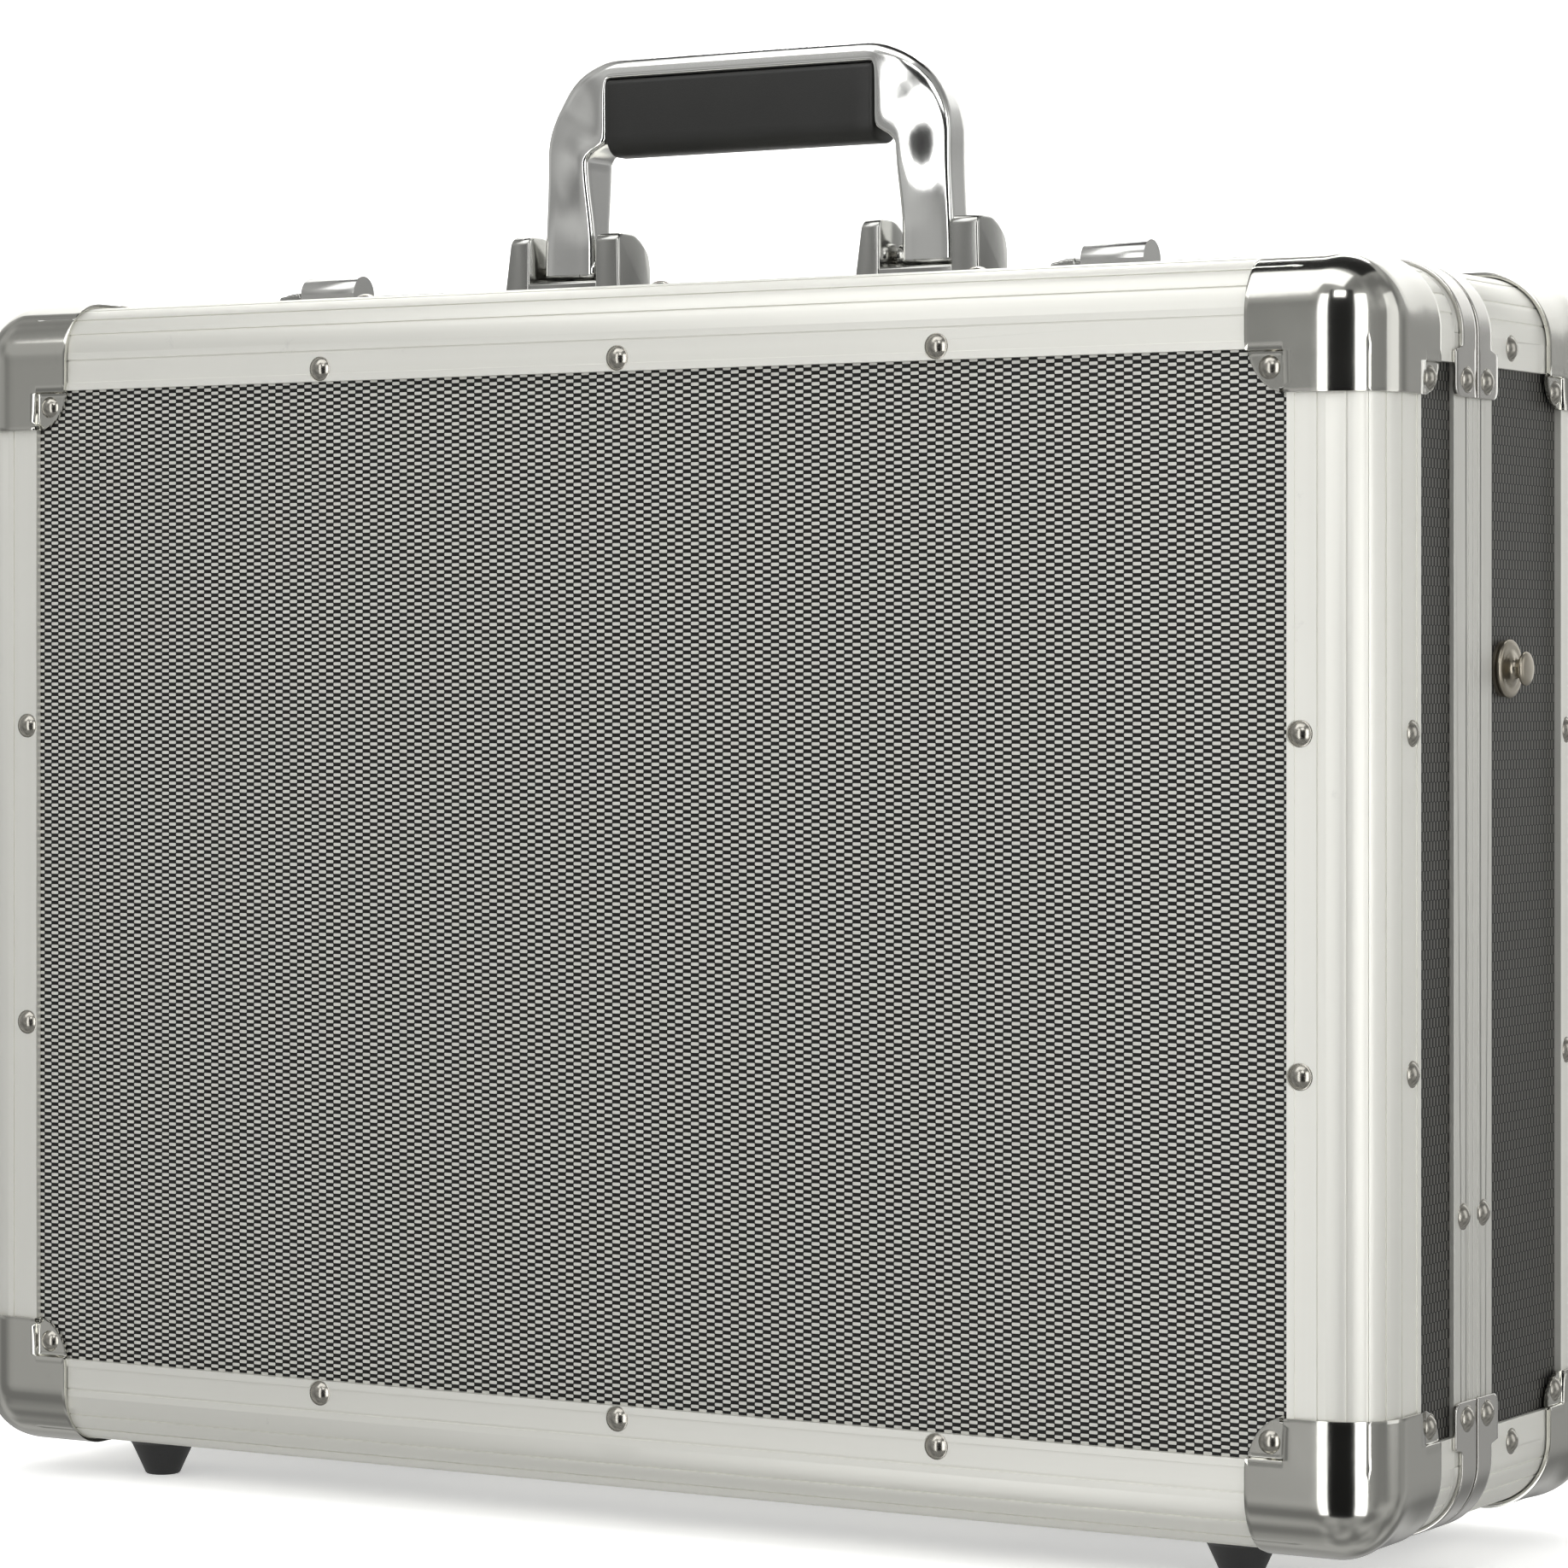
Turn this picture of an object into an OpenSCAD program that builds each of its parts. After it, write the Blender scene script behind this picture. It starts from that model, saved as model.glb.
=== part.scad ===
// Hard tool and instrument case: two laminated half shells framed in aluminium extrusion,
// hinged along the bottom edge, with pressed corners, two latches and a folding handle.
// Millimetres. +X is the case's right, +Y its back, +Z up. The origin is under the middle
// of the case, on the plane that its four feet stand on.

/* [Case] */
// Width over the aluminium, left to right
case_w = 460; // [380:5:560]
// Height over the aluminium, without the feet
case_h = 337.5; // [290:0.5:420]
// Depth of both halves together
case_d = 150; // [130:5:220]
// Depth of the front half, which is the lid
lid_d = 62.5; // [55:0.5:70]
// Thickness of the laminated panels
panel_t = 3; // [2.5:0.5:3]

/* [Extrusions] */
// Wall thickness of the aluminium extrusions
skin = 1.6; // [1.4:0.1:2]
// Width of an edge extrusion on the large face
face_leg = 25; // [24:0.5:28]
// Width of an edge extrusion on the narrow sides
side_leg = 27.7; // [26:0.1:30]
// Outer radius of the edges around the large faces
edge_r = 14; // [10:0.5:15]
// Outer radius of the four edges that run front to back
side_r = 19; // [16:0.5:19]
// Width of each half's frame along the parting line
frame_w = 12.5; // [11:0.5:14]
// Gap between the two frames when the lid is shut
parting_gap = 0.4; // [0.3:0.1:0.6]

/* [Corners and rivets] */
// Reach of a ball corner along the width and the height
corner_leg = 36.5; // [35:0.5:40]
// Reach of a ball corner along the depth
corner_leg_y = 38; // [37:0.5:40]
// Sheet thickness of the corners and clips
plate_t = 1.2; // [1:0.1:1.3]
// Radius of a rivet head
rivet_r = 3.6; // [3:0.1:3.8]

/* [Handle] */
// Width over the handle's legs
handle_w = 138; // [120:1:150]
// Height of the handle above its pivot
handle_rise = 61.7; // [55:0.1:66]
// Length of the soft grip
grip_w = 90; // [80:1:92]
// Height of the pivot above the top of the case
pivot_rise = 9.5; // [9.5:0.1:10]

/* [Latches and hinges] */
// Distance of each latch from the middle of the case
latch_x = 132.5; // [115:0.5:140]
// Distance of each hinge from the middle of the case
hinge_x = 128; // [90:1:140]
// Length of a hinge
hinge_len = 60; // [50:1:70]

/* [Feet and strap studs] */
// Height of a foot
foot_h = 11.2; // [10:0.1:13]
// Distance of each foot from the middle of the case
foot_x = 179; // [150:1:182]
// Height of the strap studs above the middle of the sides
stud_up = 61; // [40:1:70]

/* [Hidden] */
$fn = 48;
eps = 0.01;

z0 = foot_h;
z1 = foot_h + case_h;
zc = (z0 + z1) / 2;
base_d = case_d - lid_d;
parting_y = lid_d - case_d / 2;

web_t = 1.2;
leaf_t = 1.4;
panel_in = skin + panel_t;
leaf_in = panel_in + leaf_t;
tongue_gap = 0.4;
tongue_t = 1.2;
tongue_out = 3.6;
tongue_in = leaf_in + tongue_gap + tongue_t;

lip_w = 2.2;
lip_h = 0.35;
groove_w = 0.6;
groove_d = 0.4;
groove_at = 16;
frame_groove_at = 2.8;
depth_leg = 27;
depth_end = 27.7;

lining_gap = 7;
lining_t = 2;
lining_side_r = 12;

rivet_h = 1.7;
shank_r = 1.6;
tail_r = 2.6;
tail_h = 0.8;
face_rivet_in = 21.3;
side_rivet_in = 23;
long_rivet_x = 101.5;
short_rivet_x = 44.2;
depth_rivet_y = 61.8;
clip_reach = 36;
clip_rivet_in = 31.3;
clip_rivet_back = 6.6;
frame_rivet_down = 84;
ear_step = 0.2;
ear_rivet_out = 4.7;
ear_r = 8;

foot_r = 10.5;
foot_tip_r = 5;
foot_y = 27.3;
foot_recess_r = 3.3;
foot_recess_h = 4;
screw_r = 1.75;
screw_head_r = 3;

stud_y = 64;
stud_disc_r = 8;
stud_disc_h = 2.8;
stud_neck_r = 2.6;
stud_head_r = 4.65;
stud_rise = 7.7;

pivot_y = -1;
pivot_z = z1 + pivot_rise;
pin_r = 2;
pin_gap = 0.06;
leg_w = 17;
leg_out = handle_w / 2;
leg_in = leg_out - leg_w;
bow_top = pivot_z + handle_rise;
bow_front = -11;
bow_rear = 4;
leg_front = -6.6;
bow_r = 27;
grip_h = 22.5;
grip_top = bow_top - 6.3;
grip_low = grip_top - grip_h;
bracket_front = -12;
bracket_rear = 5.5;
bracket_in = 39.4;
bracket_out = 80.2;
notch_in = 48;
notch_out = 71;
bracket_h = 20;
barrel_r = 5.6;
bolt_r = 1.5;

hinge_pin_r = 1.25;
knuckle_r = 2.4;
hinge_z = z0 - knuckle_r;
knuckles = 5;

latch_len = 61;
hump_off = -7.7;
hump_len = 19.5;
hump_r = 5.3;
hump_h = 10.5;
hasp_y = 2.6;
hasp_z = z1 + 3.4;
hasp_knuckle_r = 2.2;
hasp_pin_r = 1;

silver = [0.80, 0.80, 0.77];
chrome = [0.88, 0.88, 0.90];
laminate = [0.42, 0.42, 0.40];
rivet_grey = [0.62, 0.60, 0.56];
black = [0.08, 0.08, 0.08];
nickel = [0.55, 0.50, 0.42];

// ---- Placing ----

// Puts a half shell's own frame in the case: y is 0 at its large face and grows towards
// the parting line.
module place_lid() {
    translate([0, -case_d / 2, 0]) children();
}

module place_base() {
    translate([0, case_d / 2, 0]) mirror([0, 1, 0]) children();
}

// Puts a side's own frame in a half: x runs along the side, z is 0 on its outer plane and
// points outwards.
module on_side(side) {
    if (side == "top") translate([0, 0, z1]) children();
    if (side == "bottom") translate([0, 0, z0]) mirror([0, 0, 1]) children();
    if (side == "right") translate([case_w / 2, 0, zc]) rotate([0, 90, 0]) children();
    if (side == "left") mirror([1, 0, 0]) on_side("right") children();
}

// Draws a child at all four corners of the front view, in the frame of the top right one:
// x and z are 0 on the outer planes, and the case lies at negative x and z.
module at_corners() {
    for (mx = [0, 1], mz = [0, 1])
        translate([0, 0, zc]) mirror([mx, 0, 0]) mirror([0, 0, mz])
            translate([case_w / 2, 0, case_h / 2]) children();
}

function side_len(side) = (side == "top" || side == "bottom") ? case_w : case_h;

// Extrudes an outline drawn in depth (x) and height (y) along the side's length.
module along_side(len) {
    rotate([90, 0, 90]) translate([0, 0, -len / 2]) linear_extrude(len) children();
}

// ---- Shared outlines ----

// A w by h area below and right of the origin, with its corner at the origin rounded.
module round_area(w, h, r) {
    translate([r, -h]) square([w - r, h]);
    translate([0, -h]) square([w, h - r]);
    intersection() {
        translate([r, -r]) circle(r);
        translate([0, -r]) square(r);
    }
}

module shell_outline(w, h, r) {
    difference() {
        round_area(w, h, r);
        translate([skin, -skin]) round_area(w, h, r - skin);
    }
}

module arc_grooves(r, angles) {
    for (a = angles)
        translate([r, -r]) rotate(90 + a) translate([r - groove_d, -groove_w / 2])
            square([groove_d + 1, groove_w]);
}

// Edge extrusion: an angle with a rounded back, fine grooves and a raised lip at both ends.
module edge_outline() {
    difference() {
        shell_outline(side_leg, face_leg, edge_r);
        translate([groove_at, -groove_d]) square([groove_w, 1]);
        translate([groove_d - 1, -groove_at - groove_w]) square([1, groove_w]);
        arc_grooves(edge_r, [22.5, 45, 67.5]);
    }
    translate([side_leg - lip_w, -eps]) square([lip_w, lip_h + eps]);
    translate([-lip_h, -face_leg]) square([lip_h + eps, lip_w]);
}

// Depth extrusion: the wider round that runs front to back.
module depth_outline() {
    difference() {
        shell_outline(depth_leg, depth_leg, side_r);
        arc_grooves(side_r, [15, 32, 58, 75]);
    }
}

// Parting frame: a channel that takes the panel's edge, y = 0 at the parting plane.
// The base half's web also carries the tongue that enters the lid.
module frame_outline(tongue) {
    face = -parting_gap / 2;
    difference() {
        translate([-frame_w, -leaf_in]) square([frame_w + face, leaf_in]);
        translate([-frame_w - 1, -panel_in])
            square([frame_w + 1 + face - web_t, panel_t]);
        translate([-frame_groove_at - groove_w, -groove_d]) square([groove_w, 1]);
    }
    if (tongue) {
        translate([face - web_t, -tongue_in]) square([web_t, tongue_in - leaf_in + eps]);
        translate([face - web_t, -tongue_in]) square([web_t - face + tongue_out, tongue_t]);
    }
}

// ---- Rivets ----

// A rivet standing on z = 0, whose shank goes down through grip_len of material.
module rivet(grip_len) {
    dome_r = (rivet_r * rivet_r + rivet_h * rivet_h) / (2 * rivet_h);
    rotate_extrude() {
        intersection() {
            translate([0, rivet_h - dome_r]) circle(dome_r, $fn = 96);
            square([rivet_r, rivet_h]);
        }
        translate([0, -grip_len - tail_h]) square([shank_r, grip_len + tail_h + eps]);
        translate([0, -grip_len - tail_h]) square([tail_r, tail_h]);
    }
}

// The bore of a rivet, and above z = 0 the room that its head takes out of a lip or a wall.
module rivet_bore(grip_len) {
    translate([0, 0, -grip_len - 1]) cylinder(r = shank_r, h = grip_len + 1 + eps);
    cylinder(r = rivet_r + 0.1, h = 5);
}

// Runs a child at each rivet place of one half. $grip is the thickness riveted there.
module each_rivet(depth, depth_rails_riveted) {
    for (side = ["top", "bottom", "left", "right"]) {
        len = side_len(side);
        long = len == case_w;
        spots = long ? [-long_rivet_x, 0, long_rivet_x] : [-short_rivet_x, short_rivet_x];
        on_side(side) {
            for (x = spots) {
                $grip = panel_in;
                translate([x, 0, -face_rivet_in]) rotate([90, 0, 0]) children();
                translate([x, side_rivet_in, 0]) children();
            }
            for (sx = [-1, 1]) {
                $grip = leaf_in + plate_t;
                translate([sx * (len / 2 - clip_rivet_in), depth - clip_rivet_back, plate_t])
                    children();
            }
            if (!long) {
                $grip = leaf_in;
                translate([frame_rivet_down, depth - clip_rivet_back, 0])
                    children();
            }
            if (depth_rails_riveted)
                for (sx = [-1, 1]) {
                    $grip = panel_in;
                    translate([sx * (len / 2 - face_rivet_in), depth_rivet_y, 0]) children();
                }
        }
    }
    at_corners() {
        $grip = panel_in - (skin - plate_t);
        ear_a = face_leg + ear_step + ear_rivet_out;
        ear_c = depth_leg + ear_step + ear_rivet_out;
        ear_b = side_leg + ear_step + ear_rivet_out;
        drop = skin - plate_t;
        translate([-ear_a, drop, -ear_a]) rotate([90, 0, 0]) children();
        translate([-drop, ear_b, -ear_c]) rotate([0, 90, 0]) children();
        translate([-ear_c, ear_b, -drop]) children();
    }
}

module half_rivets(depth, depth_rails_riveted) {
    each_rivet(depth, depth_rails_riveted) rivet($grip);
}

module rivet_bores(depth, depth_rails_riveted) {
    each_rivet(depth, depth_rails_riveted) rivet_bore($grip);
}

// ---- Shell pieces, drawn in a half's frame ----

module face_panel(depth, riveted) {
    difference() {
        translate([-case_w / 2 + edge_r, skin, z0 + edge_r])
            cube([case_w - 2 * edge_r, panel_t, case_h - 2 * edge_r]);
        rivet_bores(depth, riveted);
    }
}

module side_panel(side, depth, riveted) {
    len = side_len(side) - 2 * side_r;
    difference() {
        on_side(side)
            translate([-len / 2, edge_r, -panel_in])
                cube([len, depth - edge_r - parting_gap / 2 - web_t, panel_t]);
        rivet_bores(depth, riveted);
        foot_bores();
        if (riveted) {
            stud_bores();
            bracket_bores();
        }
    }
}

module edge_rail(side, depth, riveted) {
    difference() {
        on_side(side) along_side(side_len(side) - 2 * depth_leg) edge_outline();
        rivet_bores(depth, riveted);
        foot_bores();
        at_feet() cylinder(r = foot_r + 0.2, h = z0);
    }
}

module depth_rails(depth, riveted) {
    difference() {
        at_corners()
            translate([0, depth - frame_w, 0]) rotate([90, 0, 0])
                linear_extrude(depth - frame_w - depth_end) mirror([1, 0]) depth_outline();
        rivet_bores(depth, riveted);
    }
}

module frame_rail(side, depth, tongue) {
    difference() {
        on_side(side)
            translate([0, depth, 0])
                along_side(side_len(side) - 2 * side_r) frame_outline(tongue);
        rivet_bores(depth, false);
    }
}

module frame_elbows(depth, tongue) {
    at_corners()
        translate([-side_r, depth, -side_r]) rotate([-90, 0, 0])
            intersection() {
                rotate_extrude($fn = 96)
                    translate([side_r, 0]) mirror([1, -1]) frame_outline(tongue);
                translate([0, -60, -60]) cube([60, 60, 120]);
            }
}

// Solid corner of the case grown by g, in the corner's frame.
module grown_corner(g) {
    reach = 60;
    intersection() {
        translate([g, reach, g]) rotate([90, 0, 0]) linear_extrude(reach + g)
            mirror([1, 0]) round_area(reach, reach, side_r + g);
        translate([g, -g, g]) rotate([90, 0, -90]) linear_extrude(reach)
            mirror([1, 0]) round_area(reach, reach, edge_r + g);
        translate([g, -g, -reach]) linear_extrude(reach + g)
            mirror([1, 0]) mirror([0, 1]) round_area(reach, reach, edge_r + g);
    }
}

// One stepped-down ear: a plate with a rounded far corner, thickness along +z, and the two
// short walls that rise to the corner's own level. Its near corner is at the origin.
module ear(w, h, rise) {
    r = min(ear_r, w - eps, h - eps);
    linear_extrude(plate_t) {
        square([w - r, h]);
        square([w, h - r]);
        translate([w - r, h - r]) intersection() {
            circle(r);
            square(r);
        }
    }
    cube([plate_t, h, rise]);
    cube([w, plate_t, rise]);
}

module ball_corner() {
    rise = skin + lip_h + plate_t;
    face_at = face_leg + ear_step;
    depth_at = depth_leg + ear_step;
    side_at = side_leg + ear_step;
    big = 80;
    difference() {
        intersection() {
            grown_corner(lip_h + plate_t);
            translate([-corner_leg, -10, -corner_leg])
                cube([corner_leg + 10, corner_leg_y + 10, corner_leg + 10]);
        }
        grown_corner(lip_h);
        translate([-face_at - big, -10, -face_at - big]) cube([big, 20, big]);
        translate([-10, side_at, -depth_at - big]) cube([20, big, big]);
        translate([-depth_at - big, side_at, -10]) cube([big, big, 20]);
    }
    translate([-face_at, skin, -face_at]) rotate([90, 0, 0]) mirror([1, 0, 0]) mirror([0, 1, 0])
        ear(corner_leg - face_at, corner_leg - face_at, rise);
    translate([-skin, side_at, -depth_at]) rotate([0, 90, 0])
        ear(corner_leg - depth_at, corner_leg_y - side_at, rise);
    translate([-depth_at, side_at, -skin]) mirror([1, 0, 0])
        ear(corner_leg - depth_at, corner_leg_y - side_at, rise);
}

module ball_corners(depth, riveted) {
    difference() {
        at_corners() ball_corner();
        rivet_bores(depth, riveted);
    }
}

// Clip over the frame's elbow: a narrow curved band with a wider riveted ear on each leg.
module clip(depth) {
    back = 0.6;
    band_w = 9;
    ear_w = 13.4;
    translate([-side_r, depth - back, -side_r]) rotate([90, 0, 0])
        linear_extrude(band_w)
            intersection() {
                difference() {
                    circle(side_r + plate_t, $fn = 96);
                    circle(side_r, $fn = 96);
                }
                square(60);
            }
    for (leg = [0, 1])
        mirror([leg, 0, leg ? -1 : 0]) {
            translate([-clip_reach, depth - back - band_w, 0])
                cube([clip_reach - side_r, band_w, plate_t]);
            translate([-clip_reach, depth - back - ear_w, 0])
                cube([13, ear_w, plate_t]);
        }
}

module clips(depth) {
    difference() {
        at_corners() clip(depth);
        rivet_bores(depth, false);
    }
}

// Lining: a thin open tray inside the half, from its face to just short of the rim.
module tray(inset, y_from, y_to, r) {
    w = case_w - 2 * inset;
    h = case_h - 2 * inset;
    translate([0, y_to, zc]) rotate([90, 0, 0]) linear_extrude(y_to - y_from) {
        square([w - 2 * r, h], center = true);
        square([w, h - 2 * r], center = true);
        for (sx = [-1, 1], sz = [-1, 1])
            translate([sx * (w / 2 - r), sz * (h / 2 - r)]) circle(r);
    }
}

module lining(rim_y) {
    difference() {
        tray(lining_gap, lining_gap, rim_y, lining_side_r);
        tray(lining_gap + lining_t, lining_gap + lining_t, rim_y + 1, lining_side_r - lining_t);
    }
}

// ---- Feet, foot screws and strap studs ----

module at_feet() {
    for (sx = [-1, 1]) translate([sx * foot_x, foot_y, 0]) children();
}

module foot_bores() {
    at_feet() cylinder(r = screw_r, h = z0 + panel_in + 1);
}

module feet() {
    at_feet() difference() {
        rotate_extrude()
            polygon([[0, 0], [foot_tip_r, 0], [foot_r - 1, z0 - 1.5], [foot_r, z0 - 1], [foot_r, z0], [0, z0]]);
        translate([0, 0, -1]) cylinder(r = foot_recess_r, h = foot_recess_h + 1);
        cylinder(r = screw_r, h = z0 + 1);
    }
}

module foot_screw_set() {
    at_feet() {
        translate([0, 0, foot_recess_h - 2]) cylinder(r = screw_head_r, h = 2);
        translate([0, 0, foot_recess_h - eps]) cylinder(r = screw_r, h = z0 - foot_recess_h + leaf_in);
    }
}

module at_studs() {
    for (side = ["left", "right"])
        on_side(side) translate([-stud_up, stud_y, -skin]) children();
}

module stud_bores() {
    at_studs() translate([0, 0, -panel_t - 1]) cylinder(r = shank_r, h = panel_t + 2);
}

// Turned stud for a shoulder strap: a broad disc, a waisted neck and a button head.
module stud() {
    rotate_extrude()
        polygon([
            [0, -panel_t - tail_h], [tail_r, -panel_t - tail_h], [tail_r, -panel_t], [shank_r, -panel_t],
            [shank_r, 0], [stud_disc_r - 1.2, 0], [stud_disc_r - 0.6, stud_disc_h - 1.2],
            [stud_disc_r, stud_disc_h - 0.8], [stud_disc_r - 0.4, stud_disc_h], [stud_neck_r + 1, stud_disc_h],
            [stud_neck_r, stud_disc_h + 1], [stud_neck_r, stud_rise - 2], [stud_head_r, stud_rise - 0.8],
            [stud_head_r - 0.3, stud_rise], [0, stud_rise]
        ]);
}

// ---- Hinges: five knuckles each, two of them on the lid, axis just under the case ----

module hinge_leaf(lid_side) {
    step = hinge_len / knuckles;
    slack = 0.15;
    reach = frame_w - 1;
    dir = lid_side ? -1 : 1;
    bore = hinge_pin_r + (lid_side ? 0.05 : 0);
    for (sx = [-1, 1])
        translate([sx * hinge_x, parting_y, hinge_z])
            difference() {
                union() {
                    for (i = [0 : knuckles - 1])
                        if ((i % 2 == 1) == lid_side)
                            translate([(i - knuckles / 2) * step + slack, 0, 0]) {
                                rotate([0, 90, 0]) cylinder(r = knuckle_r, h = step - 2 * slack);
                                translate([0, dir < 0 ? -knuckle_r - 1 : 0, knuckle_r - leaf_t])
                                    cube([step - 2 * slack, knuckle_r + 1, leaf_t]);
                            }
                    translate([-hinge_len / 2, dir < 0 ? -reach : knuckle_r + 0.4, knuckle_r - leaf_t])
                        cube([hinge_len, reach - knuckle_r - 0.4, leaf_t]);
                }
                translate([-hinge_len, 0, 0]) rotate([0, 90, 0]) cylinder(r = bore, h = 2 * hinge_len);
            }
}

module hinge_pin_set() {
    for (sx = [-1, 1])
        translate([sx * hinge_x - hinge_len / 2, parting_y, hinge_z]) rotate([0, 90, 0])
            cylinder(r = hinge_pin_r, h = hinge_len);
}

// ---- Handle ----

module bracket_bores() {
    translate([0, case_d / 2, 0]) mirror([0, 1, 0]) at_bracket_screws()
        translate([0, 0, z1 - 8]) cylinder(r = bolt_r, h = 14);
}

module at_bracket_screws() {
    for (x = [43.7, 75.6], sx = [-1, 1]) translate([sx * x, 3.2, 0]) children();
}

// Side outline of a bracket cheek: upright in front and rounded down to the back.
module cheek_outline() {
    round_back = 10.5;
    crown = 2.5;
    translate([bracket_front, 0]) square([bracket_rear - round_back - bracket_front, bracket_h - crown]);
    translate([bracket_front + crown, 0])
        square([bracket_rear - round_back - bracket_front - crown + eps, bracket_h]);
    translate([bracket_front + crown, bracket_h - crown]) circle(crown);
    translate([bracket_rear - round_back, 0]) square([round_back, bracket_h - round_back]);
    intersection() {
        translate([bracket_rear - round_back, bracket_h - round_back]) circle(round_back);
        translate([bracket_rear - round_back, 0]) square([round_back, bracket_h]);
    }
}

module handle_bracket(sx) {
    floor_h = 2.5;
    front_h = 6.2;
    front_t = 2.4;
    mirror([sx < 0 ? 1 : 0, 0, 0])
        difference() {
            translate([0, 0, z1]) {
                for (span = [[bracket_in, notch_in], [notch_out, bracket_out]])
                    translate([span[0], 0, 0]) rotate([90, 0, 90])
                        linear_extrude(span[1] - span[0]) cheek_outline();
                translate([notch_in - eps, bracket_front, 0])
                    cube([notch_out - notch_in + 2 * eps, bracket_rear - bracket_front, floor_h]);
                translate([notch_in - eps, bracket_front, 0])
                    cube([notch_out - notch_in + 2 * eps, front_t, front_h]);
                translate([bracket_in, parting_y + frame_w + 0.1, -skin])
                    cube([bracket_out - bracket_in, bracket_rear - parting_y - frame_w - 0.1, skin + eps]);
            }
            translate([bracket_in + 2.6, pivot_y, pivot_z]) rotate([0, 90, 0])
                cylinder(r = pin_r, h = bracket_out - bracket_in - 4.8);
            at_bracket_screws() translate([0, 0, z1 - 8]) cylinder(r = bolt_r, h = 14);
        }
}

module handle_pin_set() {
    for (sx = [0, 1])
        mirror([sx, 0, 0]) translate([bracket_in + 2.6, pivot_y, pivot_z]) rotate([0, 90, 0])
            cylinder(r = pin_r, h = bracket_out - bracket_in - 4.8);
}

module handle_screw_set() {
    at_bracket_screws() {
        translate([0, 0, z1 - panel_in - 2]) cylinder(r = 2.6, h = 2);
        translate([0, 0, z1 - panel_in - eps]) cylinder(r = bolt_r, h = 10);
    }
}

// Front outline of the bow, x across and y up from the pivot.
module bow_outline() {
    window_top = grip_top - pivot_z;
    window_low = grip_low - pivot_z;
    difference() {
        translate([-leg_out, 0]) {
            square([handle_w, handle_rise - bow_r]);
            translate([bow_r, 0]) square([handle_w - 2 * bow_r, handle_rise]);
            for (x = [bow_r, handle_w - bow_r])
                translate([x, handle_rise - bow_r]) circle(bow_r, $fn = 96);
        }
        translate([-leg_in, -1]) square([2 * leg_in, window_low + 3]);
        translate([-grip_w / 2, window_low]) square([grip_w, window_top - window_low]);
    }
}

module handle_bow() {
    intersection() {
        translate([0, 40, pivot_z]) rotate([90, 0, 0]) linear_extrude(80) bow_outline();
        rotate([90, 0, 90]) translate([0, 0, -100]) linear_extrude(200)
            polygon([
                [leg_front, pivot_z], [leg_front, pivot_z + 12], [bow_front, grip_low],
                [bow_front, bow_top - 2.5], [bow_front + 2.5, bow_top],
                [bow_rear - 2.5, bow_top], [bow_rear, bow_top - 2.5],
                [bow_rear, pivot_z]
            ]);
        difference() {
            translate([-100, -50, 0]) cube([200, 100, bow_top + 1]);
            pivot_bores(pin_r + pin_gap);
        }
    }
    difference() {
        for (sx = [0, 1])
            mirror([sx, 0, 0]) translate([leg_in - 2.4, pivot_y, pivot_z]) rotate([0, 90, 0])
                cylinder(r = barrel_r, h = leg_w + 2.4);
        pivot_bores(pin_r + pin_gap);
    }
}

module pivot_bores(r) {
    translate([-100, pivot_y, pivot_z]) rotate([0, 90, 0]) cylinder(r = r, h = 200);
}

module handle_grip() {
    front = bow_front - 0.4;
    rear = bow_rear + 0.4;
    round_r = 6;
    translate([-grip_w / 2, 0, 0]) rotate([90, 0, 90]) linear_extrude(grip_w) {
        translate([front, grip_low + round_r]) square([rear - front, grip_h - round_r]);
        translate([front + round_r, grip_low]) square([rear - front - 2 * round_r, grip_h]);
        for (y = [front + round_r, rear - round_r])
            translate([y, grip_low + round_r]) circle(round_r);
    }
}

// ---- Latches ----

module at_latch(sx) {
    translate([sx * latch_x, 0, z1]) children();
}

// Pressed base of a latch, riveted to the base half's frame.
module latch_body(sx) {
    left = -latch_len / 2;
    lug_w = 2;
    hump_from = hump_off - hump_len / 2;
    lug_gap = 0.4;
    lug_xs = [hump_from - lug_gap - lug_w, hump_from + hump_len + lug_gap];
    at_latch(sx) {
        translate([left, parting_y + 0.8, 0]) cube([latch_len, 17, 1]);
        translate([left, parting_y + 0.8, 0]) cube([lug_xs[0] - left, 9, 3]);
        translate([lug_xs[1] + lug_w + 1, parting_y + 0.8, 0])
            cube([latch_len / 2 - lug_xs[1] - lug_w - 1, 11, 4.5]);
        difference() {
            for (x = lug_xs)
                translate([x, hasp_y, 0]) {
                    translate([0, -hasp_knuckle_r, 0]) cube([lug_w, 2 * hasp_knuckle_r, 3.4]);
                    translate([0, 0, hasp_z - z1]) rotate([0, 90, 0])
                        cylinder(r = hasp_knuckle_r, h = lug_w);
                }
            translate([-60, hasp_y, hasp_z - z1]) rotate([0, 90, 0]) cylinder(r = hasp_pin_r, h = 120);
        }
        translate([lug_xs[0], hasp_y, hasp_z - z1]) rotate([0, 90, 0])
            cylinder(r = hasp_pin_r, h = lug_xs[1] + lug_w - lug_xs[0]);
    }
}

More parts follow.
